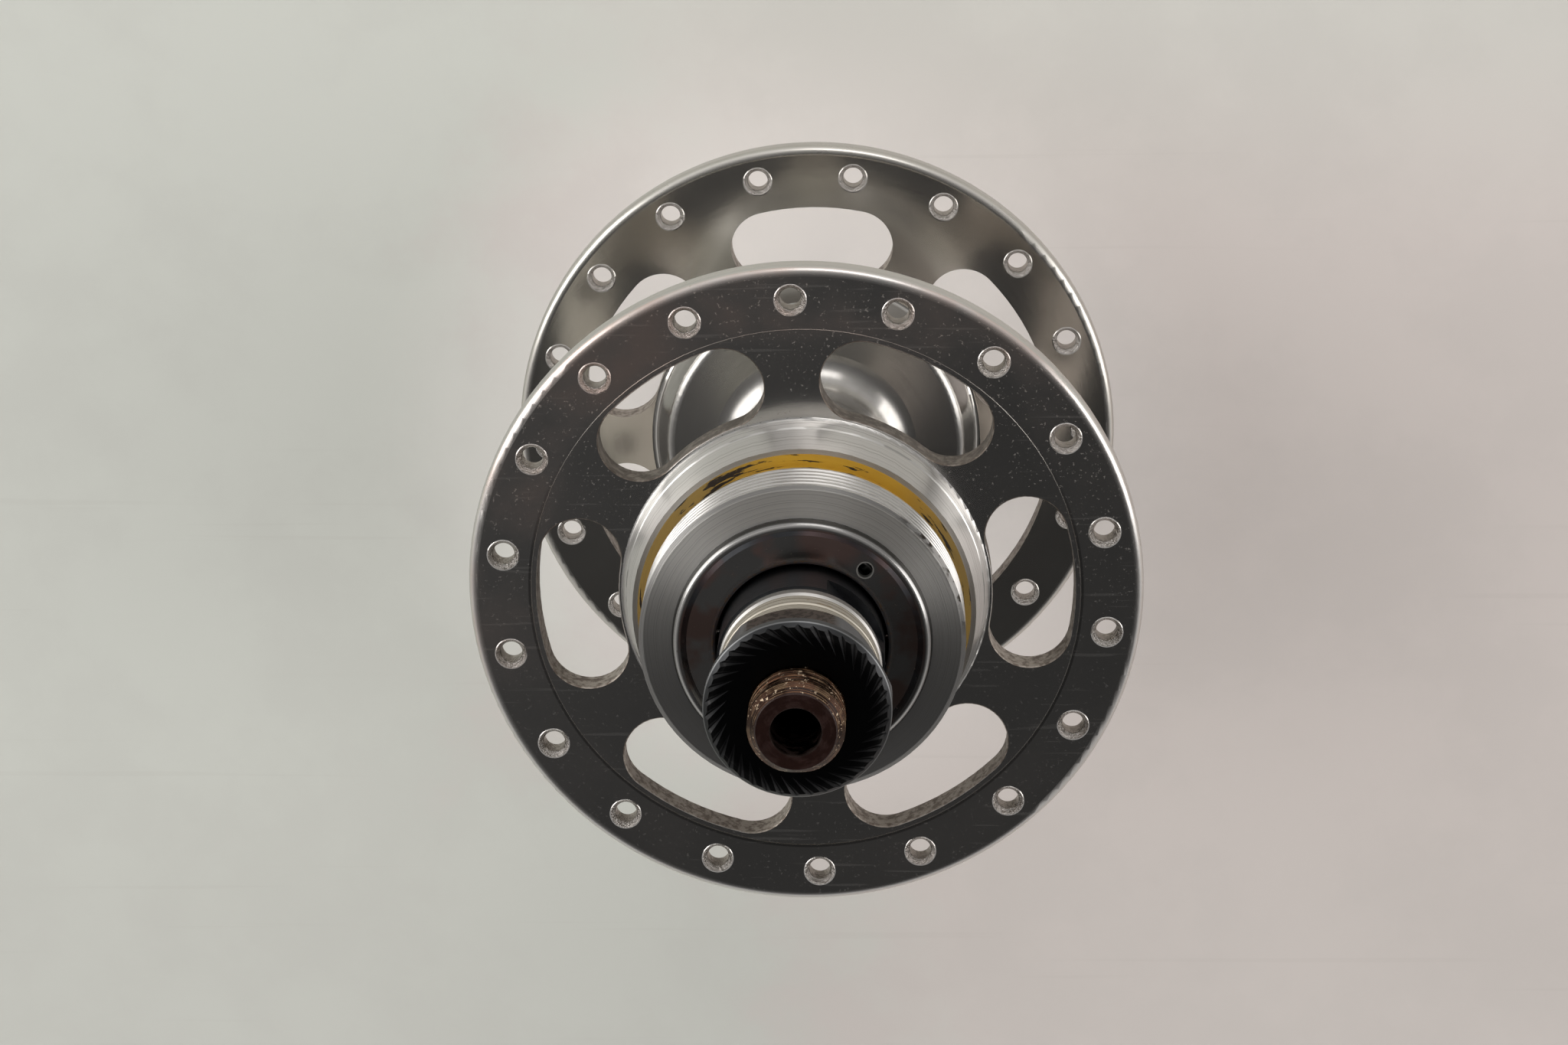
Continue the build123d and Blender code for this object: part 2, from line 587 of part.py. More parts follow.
def hub_shell():
    """Hub shell with its slots and spoke holes."""
    shell = rounded_blank()
    hole = spoke_hole_cutter()
    flanges = (
        (DRIVE_FLANGE_FACE, 1, DRIVE_SLOT_ANGLE, DRIVE_HOLE_ANGLE),
        (LEFT_FLANGE_FACE, -1, LEFT_SLOT_ANGLE, LEFT_HOLE_ANGLE),
    )
    for face, outward, slot_angle, hole_angle in flanges:
        middle = face - outward * FLANGE_THICKNESS / 2
        for angle in circle_angles(SLOT_COUNT, slot_angle):
            shell -= Pos(0, 0, middle) * slot_cutter(angle)
        holes = [
            Rot(0, 0, angle) * Pos(SPOKE_CIRCLE_DIAMETER / 2, 0, middle) * hole
            for angle in circle_angles(SPOKE_HOLES, hole_angle)
        ]
        shell -= holes
        web_face = face - outward * WEB_RECESS
        shell = chamfer(slot_edges(shell, web_face), SLOT_CHAMFER)
    return shell


def save(name, piece):
    """Write one sub-part under its own name."""
    piece.label = name
    export_step(piece, f"parts/{name}.step")


def save_side(side_name, side, boss_face):
    """Write the pieces that both ends have."""
    washer_face = boss_face + CONE_STANDOUT + LOCK_WASHER_THICKNESS
    save(f"{side_name}_bearing_cup", on_side(bearing_cup(), side, boss_face))
    save(f"{side_name}_dust_cap", on_side(dust_cap(), side, boss_face))
    save(f"{side_name}_cone", on_side(cone(), side, boss_face + CONE_STANDOUT))
    save(f"{side_name}_lock_washer", on_side(lock_washer(), side, washer_face))
    save(f"{side_name}_locknut", on_side(locknut(), side, LOCKNUT_FACE))
    for index, angle in enumerate(circle_angles(BALL_COUNT, 0)):
        save(f"{side_name}_ball_{index + 1}", ball(side, boss_face, angle))


os.makedirs("parts", exist_ok=True)
save("axle", axle())
save("hub_shell", hub_shell())
save("drive_outer_spacer", on_side(spacer(DRIVE_OUTER_SPACER_THICKNESS), 1, LOCKNUT_SEAT))
save("drive_inner_spacer", on_side(spacer(DRIVE_INNER_SPACER_THICKNESS), 1, DRIVE_INNER_SPACER_FACE))
save("left_spacer", on_side(spacer(LEFT_SPACER_THICKNESS), -1, LOCKNUT_SEAT))
save_side("drive", 1, DRIVE_BOSS_FACE)
save_side("left", -1, LEFT_BOSS_FACE)
print("axle length", round(2 * AXLE_END, 2))
print("ball circle radius", round(BALL_CIRCLE_RADIUS, 3))
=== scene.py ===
import bpy
import math
from mathutils import Matrix, Vector


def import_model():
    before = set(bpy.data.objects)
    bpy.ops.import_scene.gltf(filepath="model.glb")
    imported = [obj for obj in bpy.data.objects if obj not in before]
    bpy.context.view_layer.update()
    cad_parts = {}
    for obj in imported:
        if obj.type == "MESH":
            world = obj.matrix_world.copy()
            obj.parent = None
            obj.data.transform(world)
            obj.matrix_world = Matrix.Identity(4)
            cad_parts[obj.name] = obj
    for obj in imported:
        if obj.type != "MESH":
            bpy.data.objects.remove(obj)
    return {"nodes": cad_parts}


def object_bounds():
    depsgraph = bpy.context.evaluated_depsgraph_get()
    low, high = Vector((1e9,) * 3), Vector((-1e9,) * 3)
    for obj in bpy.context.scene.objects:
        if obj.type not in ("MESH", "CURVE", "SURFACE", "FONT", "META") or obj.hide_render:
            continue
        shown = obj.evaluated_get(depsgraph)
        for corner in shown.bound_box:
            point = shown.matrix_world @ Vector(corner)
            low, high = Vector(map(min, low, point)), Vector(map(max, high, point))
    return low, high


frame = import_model()
cad_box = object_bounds()

MM_IN_METRE = 1000.0

# Sizes that the materials use to find their places on the parts. Lengths are in mm, heights are
# from the middle of the hub, and angles are in degrees. First the heights on the shell.
BOSS_FACE = 40.6
BOSS_END_DEPTH = 0.33
THREAD_START = 34.15
COLLAR_FACE = 31.9
FLANGE_FACE = 26.1

# Radii on the shell, from the rim in
RIM_START = 36.1
SPOKE_CIRCLE = 33.5
WEB_STEP = 30.2
SLOT_OUTER = 29.6
SLOT_INNER = 20.6
RELIEF_LEDGE = 18.1
THREAD_ROOT = 17.12

# Spoke holes
HOLE_RADIUS = 1.2
COUNTERSINK_RADIUS = 1.68
HOLE_PITCH = 20.0
DRIVE_HOLE_ANGLE = 12.3
LEFT_HOLE_ANGLE = 1.9

# Dust caps
OIL_HOLE_CIRCLE = 10.8
OIL_HOLE_ANGLE = 51.5
OIL_HOLE_RADIUS = 0.8
CAP_BEAD_INSIDE = 12.95
CAP_HOLE_EDGE = 9.45

# Locknuts and axle, heights and radii
LOCKNUT_RIM = 59.4
LOCKNUT_HEX = 58.6
LOCKNUT_RADIUS = 9.6
TOOTH_FADE = 7.9
AXLE_END = 65.4
AXLE_END_RADIUS = 4.05
AXLE_BORE_RADIUS = 2.6


class Shader:
    """A material's node tree, with short calls for the nodes used here. Lengths are in mm."""

    def __init__(self, name):
        self.material = bpy.data.materials.new(name)
        self.material.use_nodes = True
        self.tree = self.material.node_tree
        self.bsdf = self.tree.nodes["Principled BSDF"]
        coords = self.add("ShaderNodeTexCoord")
        self.facing = coords.outputs["Normal"]
        scaled = self.add("ShaderNodeVectorMath", operation="SCALE")
        self.tree.links.new(coords.outputs["Object"], scaled.inputs[0])
        scaled.inputs["Scale"].default_value = MM_IN_METRE
        self.place = scaled.outputs[0]
        split = self.add("ShaderNodeSeparateXYZ")
        self.tree.links.new(self.place, split.inputs[0])
        self.x, self.y, self.z = split.outputs
        self.radius = self.length(self.x, self.y)
        self.angle = self.calc("ARCTAN2", self.y, self.x)

    def add(self, kind, **settings):
        made = self.tree.nodes.new(kind)
        for key, value in settings.items():
            setattr(made, key, value)
        return made

    def put(self, value, socket):
        """Link a socket, or set a plain value."""
        if isinstance(value, bpy.types.NodeSocket):
            self.tree.links.new(value, socket)
        else:
            socket.default_value = value

    def calc(self, operation, *values):
        made = self.add("ShaderNodeMath", operation=operation)
        for value, socket in zip(values, made.inputs):
            self.put(value, socket)
        return made.outputs[0]

    def plus(self, first, second):
        return self.calc("ADD", first, second)

    def minus(self, first, second):
        return self.calc("SUBTRACT", first, second)

    def times(self, first, *others):
        """Product of values, or the overlap of masks."""
        for other in others:
            first = self.calc("MULTIPLY", first, other)
        return first

    def either(self, first, second):
        """The stronger of two masks."""
        return self.calc("MAXIMUM", first, second)

    def above(self, value, limit):
        return self.calc("GREATER_THAN", value, limit)

    def below(self, value, limit):
        return self.calc("LESS_THAN", value, limit)

    def length(self, along, across):
        """Length of a vector in a plane."""
        return self.calc("SQRT", self.plus(self.times(along, along), self.times(across, across)))

    def angle_from(self, middle):
        """Angle in radians, either way round, from a bearing."""
        return self.calc("ABSOLUTE", self.minus(self.angle, middle))

    def distance_on(self, circle, turn):
        """Distance from a point on a circle, where turn is the angle from that point."""
        side = self.times(self.calc("SINE", turn), self.radius)
        out = self.minus(self.times(self.calc("COSINE", turn), self.radius), circle)
        return self.length(side, out)

    def ramp(self, value, low, high, start=0.0, end=1.0):
        """Smooth step of a value from low to high."""
        made = self.add("ShaderNodeMapRange", interpolation_type="SMOOTHSTEP")
        for item, socket in zip((value, low, high, start, end), made.inputs):
            self.put(item, socket)
        return made.outputs[0]

    def band(self, value, low, high, soft):
        """1 between low and high, fading to 0 over the soft width."""
        rise = self.ramp(value, low - soft, low + soft)
        fall = self.ramp(value, high - soft, high + soft, 1.0, 0.0)
        return self.times(rise, fall)

    def mix(self, factor, first, second):
        """Mix of two colours."""
        made = self.add("ShaderNodeMix", data_type="RGBA")
        self.put(factor, made.inputs[0])
        self.put(first, made.inputs[6])
        self.put(second, made.inputs[7])
        return made.outputs[2]

    def blend(self, factor, first, second):
        """Mix of two plain values."""
        made = self.add("ShaderNodeMix", data_type="FLOAT")
        self.put(factor, made.inputs[0])
        self.put(first, made.inputs[2])
        self.put(second, made.inputs[3])
        return made.outputs[0]

    def noise(self, scale, detail=3.0, vector=None, roughness=0.5):
        made = self.add("ShaderNodeTexNoise", noise_dimensions="3D")
        self.put(vector or self.place, made.inputs["Vector"])
        made.inputs["Scale"].default_value = scale
        made.inputs["Detail"].default_value = detail
        made.inputs["Roughness"].default_value = roughness
        return made.outputs["Fac"]

    def stretched(self, along, turn, scale, detail=2.0):
        """Noise drawn out in one direction in the XY plane, for hairline scratches."""
        made = self.add("ShaderNodeMapping")
        self.put(self.place, made.inputs["Vector"])
        made.inputs["Rotation"].default_value = (0.0, 0.0, math.radians(turn))
        made.inputs["Scale"].default_value = (along, 1.0, 1.0)
        return self.noise(scale, detail, made.outputs[0])

    def run(self, lean=0.83):
        """Way along a section of a turned part, which grows on its faces and on its walls alike."""
        return self.calc("MULTIPLY_ADD", self.z, lean, self.radius)

    def circling(self, around, across, scale, detail=3.0):
        """Noise drawn out round the axis, even at the seam because it goes by sine and cosine."""
        made = self.add("ShaderNodeCombineXYZ")
        self.put(self.times(self.calc("COSINE", self.angle), around), made.inputs[0])
        self.put(self.times(self.calc("SINE", self.angle), around), made.inputs[1])
        self.put(self.times(self.run(), across), made.inputs[2])
        return self.noise(scale, detail, made.outputs[0], 0.6)

    def lines(self, scale, detail=2.0, wobble=0.0, lean=0.83):
        """Fine turned lines round the axis."""
        run = self.run(lean)
        if wobble:
            run = self.calc("MULTIPLY_ADD", self.noise(0.25, 1.0), wobble, run)
        made = self.add("ShaderNodeTexNoise", noise_dimensions="1D")
        self.put(run, made.inputs["W"])
        made.inputs["Scale"].default_value = scale
        made.inputs["Detail"].default_value = detail
        return made.outputs["Fac"]

    def steep(self):
        """1 on walls and chamfers along the axis, 0 where the surface faces along it."""
        split = self.add("ShaderNodeSeparateXYZ")
        self.put(self.facing, split.inputs[0])
        return self.ramp(self.calc("ABSOLUTE", split.outputs[2]), 0.75, 0.9, 1.0, 0.0)

    def bump(self, height, distance, under=None, strength=1.0):
        made = self.add("ShaderNodeBump")
        self.put(height, made.inputs["Height"])
        made.inputs["Distance"].default_value = distance / MM_IN_METRE
        made.inputs["Strength"].default_value = strength
        if under:
            self.put(under, made.inputs["Normal"])
        return made.outputs[0]

    def finish(self, color, roughness, metallic=1.0, normal=None, **inputs):
        self.put(color, self.bsdf.inputs["Base Color"])
        self.put(roughness, self.bsdf.inputs["Roughness"])
        self.put(metallic, self.bsdf.inputs["Metallic"])
        if normal:
            self.put(normal, self.bsdf.inputs["Normal"])
        for key, value in inputs.items():
            self.put(value, self.bsdf.inputs[key.replace("_", " ")])
        return self.material


def rgb(red, green, blue):
    """An opaque colour."""
    return (red, green, blue, 1.0)


# Colours of the shell's metal
POLISH = rgb(0.80, 0.785, 0.765)
SMEARED_POLISH = rgb(0.76, 0.745, 0.725)
INNER_FACE = rgb(0.80, 0.775, 0.73)
DULL_INNER_FACE = rgb(0.64, 0.615, 0.575)
# Painted shade: the barrel between the flanges, darker than the polish.
BARREL_PAINTED_SHADE = rgb(0.50, 0.49, 0.475)
DULLER_BARREL_PAINTED_SHADE = rgb(0.36, 0.345, 0.325)
# Painted light and shade on the boss end: darker low, lighter towards the top.
BOSS_END_PAINTED_SHADE = rgb(0.46, 0.455, 0.45)
BOSS_END_PAINTED_HIGHLIGHT = rgb(0.98, 0.96, 0.92)
GROOVE = rgb(0.46, 0.445, 0.42)
BOSS_END_GROOVE = rgb(0.40, 0.39, 0.375)
DULL_RIM = rgb(0.50, 0.48, 0.455)
FILED_WALL = rgb(0.37, 0.33, 0.29)
DARK_FILED_WALL = rgb(0.15, 0.12, 0.10)
# Painted shade on the walls of the upper slots of the drive flange.
SLOT_WALL_PAINTED_SHADE = rgb(0.09, 0.075, 0.062)
COUNTERSINK = rgb(0.66, 0.63, 0.60)
HOLE_WALL = rgb(0.40, 0.36, 0.32)
STEP_SHADE = rgb(0.10, 0.095, 0.09)

# Colours of what lies on the shell, and of a painted brown reflection on it
THREAD_DIRT = rgb(0.10, 0.085, 0.07)
PAINTED_BROWN_REFLECTION = rgb(0.62, 0.42, 0.35)
DUST = rgb(0.40, 0.30, 0.20)
AMBER_GREASE = rgb(0.46, 0.28, 0.022)
DARK_AMBER_GREASE = rgb(0.30, 0.155, 0.02)
OLIVE_GREASE = rgb(0.16, 0.115, 0.05)
PALE_OLIVE_GREASE = rgb(0.30, 0.20, 0.05)
BLACK_DIRT = rgb(0.02, 0.015, 0.012)


def hole_distance(s, first_angle):
    """Distance from the middle of the nearest spoke hole of a flange."""
    pitch = math.radians(HOLE_PITCH)
    count = s.calc("DIVIDE", s.minus(s.angle, math.radians(first_angle)), pitch)
    turn = s.times(s.minus(count, s.calc("ROUND", count)), pitch)
    return s.distance_on(SPOKE_CIRCLE, turn)


def flange_marks(s):
    """Masks of a flange: its countersinks, the walls of its spoke holes, and the walls of its slots."""
    from_left_hole = hole_distance(s, LEFT_HOLE_ANGLE)
    from_drive_hole = hole_distance(s, DRIVE_HOLE_ANGLE)
    from_hole = s.blend(s.above(s.z, 0.0), from_left_hole, from_drive_hole)
    below_boss = s.below(s.z, FLANGE_FACE + 0.1)
    countersink = s.ramp(from_hole, COUNTERSINK_RADIUS - 0.02, COUNTERSINK_RADIUS + 0.12, 1.0, 0.0)
    hole_wall = s.ramp(from_hole, HOLE_RADIUS + 0.02, HOLE_RADIUS + 0.1, 1.0, 0.0)
    slot_wall = s.times(s.steep(), s.band(s.radius, SLOT_INNER - 0.1, SLOT_OUTER + 0.1, 0.1))
    return [s.times(mask, below_boss) for mask in (countersink, hole_wall, slot_wall)]


def old_grease(s):
    """Masks of the relief behind the thread, which holds amber grease, and of black dirt on that."""
    height = s.band(s.z, COLLAR_FACE - 0.05, THREAD_START - 0.2, 0.05)
    relief = s.times(height, s.below(s.radius, RELIEF_LEDGE))
    upper_left = s.ramp(s.angle_from(2.05), 0.25, 0.60, 0.09, 0.0)
    upper_right = s.ramp(s.angle_from(0.75), 0.20, 0.50, 0.05, 0.0)
    patches = s.plus(s.circling(5.5, 3.0, 0.75, 5.0), s.plus(upper_left, upper_right))
    return relief, s.times(s.ramp(patches, 0.63, 0.65), relief)


def thread_marks(s):
    """Dirt in the roots of the freewheel thread, and its nicked first turn on the upper right."""
    on_thread = s.band(s.z, THREAD_START, BOSS_FACE - 0.45, 0.05)
    roots = s.times(s.ramp(s.radius, THREAD_ROOT + 0.02, THREAD_ROOT + 0.22, 0.75, 0.0), on_thread)
    upper_right = s.ramp(s.angle_from(0.5), 0.25, 0.55, 1.0, 0.0)
    ragged = s.ramp(s.circling(14.0, 2.0, 0.7, 4.0), 0.46, 0.56)
    first_turn = s.band(s.z, BOSS_FACE - 1.1, BOSS_FACE - 0.35, 0.12)
    return s.either(roots, s.times(upper_right, ragged, first_turn))


def flange_dust_and_painted_reflection(s):
    """Masks of dust and hairlines on the drive flange, and of a painted brown reflection, mostly at its
    upper left.
    """
    on_flange = s.times(s.above(s.radius, SLOT_INNER - 0.1), s.above(s.z, FLANGE_FACE - 0.5))
    upper = s.ramp(s.y, -14.0, 22.0, 0.3, 1.0)
    dust = s.times(s.ramp(s.noise(2.7, 2.0, roughness=0.7), 0.65, 0.69, 0.0, 0.32), upper)
    rising = s.ramp(s.stretched(0.05, 28.0, 1.7), 0.66, 0.71)
    falling = s.ramp(s.stretched(0.04, -52.0, 1.5), 0.67, 0.72)
    specks = s.either(dust, s.times(s.either(rising, falling), 0.045))
    # Painted brown reflection, in clouds, mostly at the upper left and towards the rim.
    cloud = s.ramp(s.noise(0.08, 4.0, roughness=0.55), 0.30, 0.68)
    upper_left = s.ramp(s.calc("MULTIPLY_ADD", s.x, -0.45, s.y), -8.0, 30.0, 0.15, 1.0)
    brown_reflection = s.times(cloud, upper_left, s.ramp(s.radius, 28.0, 32.0, 0.007, 0.050))
    return s.times(specks, on_flange), s.times(brown_reflection, on_flange)


class ShellMarks:
    """Masks and noises that the shell's colour, gloss and relief share."""

    def __init__(self, s):
        self.countersink, self.hole_wall, self.slot_wall = flange_marks(s)
        self.relief, self.dirt = old_grease(s)
        self.specks, self.brown_reflection = flange_dust_and_painted_reflection(s)
        self.boss = s.times(s.above(s.z, FLANGE_FACE - 0.07), s.below(s.radius, SLOT_INNER - 0.1))
        self.boss_end = s.above(s.z, BOSS_FACE - BOSS_END_DEPTH)
        self.rim = s.ramp(s.radius, RIM_START - 0.1, RIM_START + 0.3)
        self.rim_wall = s.ramp(s.radius, RIM_START + 0.75, RIM_START + 1.0)
        self.inner = s.below(s.z, FLANGE_FACE - 1.0)
        self.barrel = s.times(self.inner, s.below(s.radius, SLOT_INNER - 0.6))
        self.turned = s.lines(9.0, 3.0, 0.3)
        self.smears = s.noise(0.16, 4.0)
        self.wiped = s.circling(5.0, 2.4, 0.9, 3.0)


def shell_roughness(s, marks):
    polished = s.plus(s.blend(marks.smears, 0.10, 0.13), s.times(marks.wiped, 0.04))
    polished = s.blend(marks.inner, polished, s.blend(marks.wiped, 0.10, 0.15))
    polished = s.blend(marks.barrel, polished, s.blend(marks.wiped, 0.20, 0.26))
    rough = s.blend(marks.rim, polished, s.blend(marks.wiped, 0.26, 0.30))
    rough = s.blend(marks.boss, rough, s.blend(marks.turned, 0.30, 0.42))
    rough = s.blend(marks.boss_end, rough, s.blend(marks.turned, 0.40, 0.48))
    rough = s.blend(marks.countersink, rough, 0.25)
    rough = s.blend(marks.slot_wall, rough, 0.50)
    return s.blend(marks.relief, rough, 0.34)


def metal_tone(s, marks):
    """The polish of flanges, barrel and rim, with painted shade on the barrel, and the turned boss with
    its dirty thread and a painted highlight towards the top of its end.
    """
    tone = s.mix(marks.smears, POLISH, SMEARED_POLISH)
    tone = s.mix(marks.inner, tone, s.mix(marks.smears, INNER_FACE, DULL_INNER_FACE))
    # Painted shade on the barrel between the flanges.
    tone = s.mix(marks.barrel, tone, s.mix(marks.wiped, BARREL_PAINTED_SHADE, DULLER_BARREL_PAINTED_SHADE))
    # Painted highlight: the boss end grows lighter towards the top of the picture.
    upper = s.ramp(s.y, -8.0, 14.0)
    tone = s.mix(marks.boss_end, tone, s.mix(upper, BOSS_END_PAINTED_SHADE, BOSS_END_PAINTED_HIGHLIGHT))
    depth = s.blend(marks.boss_end, 0.7, 0.4)
    grooves = s.times(marks.boss, s.ramp(marks.turned, 0.48, 0.70, 0.0, depth))
    tone = s.mix(grooves, tone, s.mix(marks.boss_end, GROOVE, BOSS_END_GROOVE))
    tone = s.mix(thread_marks(s), tone, THREAD_DIRT)
    return s.mix(s.times(marks.rim_wall, s.blend(marks.wiped, 0.4, 0.9)), tone, DULL_RIM)


def slot_tone(s):
    """Filed slot walls, with painted shade in the upper slots of the drive flange."""
    # Painted shade in the upper slots, in patches of varied strength.
    shade_strength = s.blend(s.ramp(s.noise(0.7, 4.0, roughness=0.65), 0.42, 0.60), 0.55, 1.0)
    upper = s.times(s.ramp(s.y, -6.0, 6.0), s.above(s.z, 0.0))
    dark = s.ramp(s.noise(1.3, 4.0, roughness=0.7), 0.42, 0.62)
    filed = s.mix(dark, FILED_WALL, DARK_FILED_WALL)
    return s.mix(s.times(shade_strength, upper), filed, SLOT_WALL_PAINTED_SHADE)


def grease_tone(s):
    """Amber grease, olive away from its top."""
    amber = s.mix(s.circling(3.0, 0.8, 0.7), AMBER_GREASE, DARK_AMBER_GREASE)
    olive = s.mix(s.circling(5.0, 3.0, 0.9, 4.0), OLIVE_GREASE, PALE_OLIVE_GREASE)
    aside = s.ramp(s.angle_from(1.35), 0.30, 0.95)
    return s.mix(s.times(aside, 0.85), amber, olive)


def shell_tone(s, marks):
    """The metal, with slots, holes, painted shade at the web's step, a painted brown reflection, dust,
    dirt and grease over it.
    """
    tone = s.mix(marks.slot_wall, metal_tone(s, marks), slot_tone(s))
    tone = s.mix(marks.countersink, tone, COUNTERSINK)
    tone = s.mix(marks.hole_wall, tone, HOLE_WALL)
    step = s.times(s.band(s.radius, WEB_STEP, WEB_STEP + 0.35, 0.05), s.above(s.z, 0.0))
    tone = s.mix(s.times(step, s.ramp(s.y, 2.0, 20.0, 0.55, 0.0)), tone, STEP_SHADE)
    # Painted brown reflection on the drive flange.
    tone = s.mix(s.times(marks.brown_reflection, 12.0), tone, PAINTED_BROWN_REFLECTION)
    tone = s.mix(marks.specks, tone, DUST)
    tone = s.mix(marks.relief, tone, grease_tone(s))
    return s.mix(marks.dirt, tone, BLACK_DIRT)


def shell_metal(s, marks):
    """How much of the surface is bare metal, under grease, dust and the painted brown reflection."""
    metal = s.minus(1.0, s.times(marks.relief, 0.9))
    metal = s.minus(metal, s.times(marks.slot_wall, 0.25))
    return s.minus(metal, s.plus(s.times(marks.specks, 0.5), marks.brown_reflection))


def shell_relief(s, marks):
    """Turned lines on the boss, wiping marks, burrs at the spoke holes and file marks in the slots."""
    normal = s.bump(s.times(marks.turned, marks.boss), 0.012)
    normal = s.bump(marks.wiped, 0.004, normal, 0.35)
    normal = s.bump(s.noise(0.5, 2.0), 0.03, normal, 0.10)
    burrs = s.times(s.noise(1.9, 3.0, roughness=0.7), marks.countersink)
    normal = s.bump(burrs, 0.45, normal)
    file_marks = s.times(s.noise(2.4, 3.0), marks.slot_wall)
    return s.bump(file_marks, 0.12, normal, 0.5)


def shell_material():
    """Polished aluminium, turned on the collar and boss, a little worn."""
    s = Shader("polished_aluminium")
    marks = ShellMarks(s)
    grain = s.add("ShaderNodeTangent", direction_type="RADIAL", axis="Z")
    streaked = s.times(marks.boss, s.minus(1.0, marks.relief))
    return s.finish(
        shell_tone(s, marks), shell_roughness(s, marks), shell_metal(s, marks), shell_relief(s, marks),
        Anisotropic=s.times(streaked, 0.8), Anisotropic_Rotation=0.25, Tangent=grain.outputs[0],
    )


# Colours of the dust caps
CHROME = rgb(0.46, 0.455, 0.445)
HAZY_CHROME = rgb(0.36, 0.35, 0.345)
PAINTED_REFLECTION_ON_CAP = rgb(0.36, 0.25, 0.22)
LIGHTER_PAINTED_REFLECTION_ON_CAP = rgb(0.62, 0.43, 0.39)
# Painted light and shade on the cap's bead.
BEAD_PAINTED_SHADE = rgb(0.30, 0.295, 0.29)
BEAD_CREST_PAINTED_HIGHLIGHT = rgb(0.64, 0.63, 0.615)
BEAD_FOOT_PAINTED_SHADE = rgb(0.09, 0.088, 0.085)
PIT = rgb(0.22, 0.17, 0.12)
# Painted shade where the cap rolls down into its hole.
HOLE_EDGE_PAINTED_SHADE = rgb(0.14, 0.125, 0.12)
EDGE_RUST = rgb(0.32, 0.20, 0.12)
# Painted highlight round the oil hole.
OIL_HOLE_PAINTED_HIGHLIGHT = rgb(0.80, 0.79, 0.76)


def bead_painted_light(s, bead, tone):
    """The tone with the cap's bead over it: painted shade, a painted highlight on its crest and painted
    shade at its foot.
    """
    crest = s.band(s.radius, CAP_BEAD_INSIDE + 0.25, CAP_BEAD_INSIDE + 0.52, 0.07)
    foot = s.ramp(s.radius, CAP_BEAD_INSIDE + 0.62, CAP_BEAD_INSIDE + 0.74)
    tone = s.mix(bead, tone, BEAD_PAINTED_SHADE)
    tone = s.mix(crest, tone, BEAD_CREST_PAINTED_HIGHLIGHT)
    return s.mix(foot, tone, BEAD_FOOT_PAINTED_SHADE)


def cap_material():
    """Chromed sheet metal with a little haze, pitting and rust at its hole's edge, with a painted
    reddish-brown reflection that grows lighter towards the top, painted light and shade on its bead and
    at its hole's edge, and a painted highlight round the oil hole.
    """
    s = Shader("chromed_cap")
    smears = s.noise(0.3, 4.0)
    pits = s.ramp(s.noise(2.3, 2.0, roughness=0.65), 0.70, 0.75)
    from_oil_hole = s.distance_on(OIL_HOLE_CIRCLE, s.minus(s.angle, math.radians(OIL_HOLE_ANGLE)))
    oil_hole_highlight = s.ramp(from_oil_hole, OIL_HOLE_RADIUS + 0.10, OIL_HOLE_RADIUS + 0.17, 1.0, 0.0)
    bead = s.ramp(s.radius, CAP_BEAD_INSIDE, CAP_BEAD_INSIDE + 0.2)
    hole_edge_shade = s.ramp(s.radius, CAP_HOLE_EDGE - 0.05, CAP_HOLE_EDGE + 0.6, 1.0, 0.0)
    at_edge = s.band(s.radius, CAP_HOLE_EDGE - 0.15, CAP_HOLE_EDGE + 0.15, 0.1)
    edge_rust = s.times(at_edge, s.ramp(s.noise(1.9, 4.0, roughness=0.7), 0.50, 0.60))
    # Painted reddish-brown reflection in patches, lighter towards the top of the cap.
    rusty = s.mix(s.ramp(s.y, 2.0, 11.0), PAINTED_REFLECTION_ON_CAP, LIGHTER_PAINTED_REFLECTION_ON_CAP)
    tone = s.mix(smears, CHROME, HAZY_CHROME)
    tone = s.mix(s.ramp(s.noise(0.22, 3.0), 0.45, 0.62), tone, rusty)
    tone = bead_painted_light(s, bead, tone)
    tone = s.mix(s.times(pits, 0.6), tone, PIT)
    # Painted shade where the cap rolls down into its hole.
    tone = s.mix(s.times(hole_edge_shade, 0.75), tone, HOLE_EDGE_PAINTED_SHADE)
    tone = s.mix(s.times(edge_rust, 0.8), tone, EDGE_RUST)
    # Painted highlight round the oil hole.
    tone = s.mix(oil_hole_highlight, tone, OIL_HOLE_PAINTED_HIGHLIGHT)
    rough = s.plus(s.blend(smears, 0.10, 0.16), s.times(pits, 0.3))
    rough = s.blend(bead, rough, 0.22)
    rough = s.blend(s.either(oil_hole_highlight, hole_edge_shade), rough, 0.4)
    normal = s.bump(s.lines(6.0, 2.0), 0.003, None, 0.4)
    normal = s.bump(s.noise(0.6, 3.0), 0.03, normal, 0.12)
    return s.finish(tone, rough, 1.0, normal)


# Colours of the spacers, washers, cones and bearings
ZINC = rgb(0.60, 0.565, 0.495)
YELLOWED_ZINC = rgb(0.48, 0.44, 0.37)
DIRTY_GROOVE = rgb(0.20, 0.17, 0.13)
BROWN_SPOT = rgb(0.30, 0.21, 0.11)
BRIGHT_STEEL = rgb(0.62, 0.61, 0.59)
TURNED_STEEL = rgb(0.40, 0.385, 0.37)
# Painted shade: the cones' steel, painted dark.
CONE_PAINTED_SHADE = rgb(0.105, 0.112, 0.125)
DARKER_CONE_PAINTED_SHADE = rgb(0.060, 0.062, 0.068)
FILMED_STEEL = rgb(0.48, 0.45, 0.40)


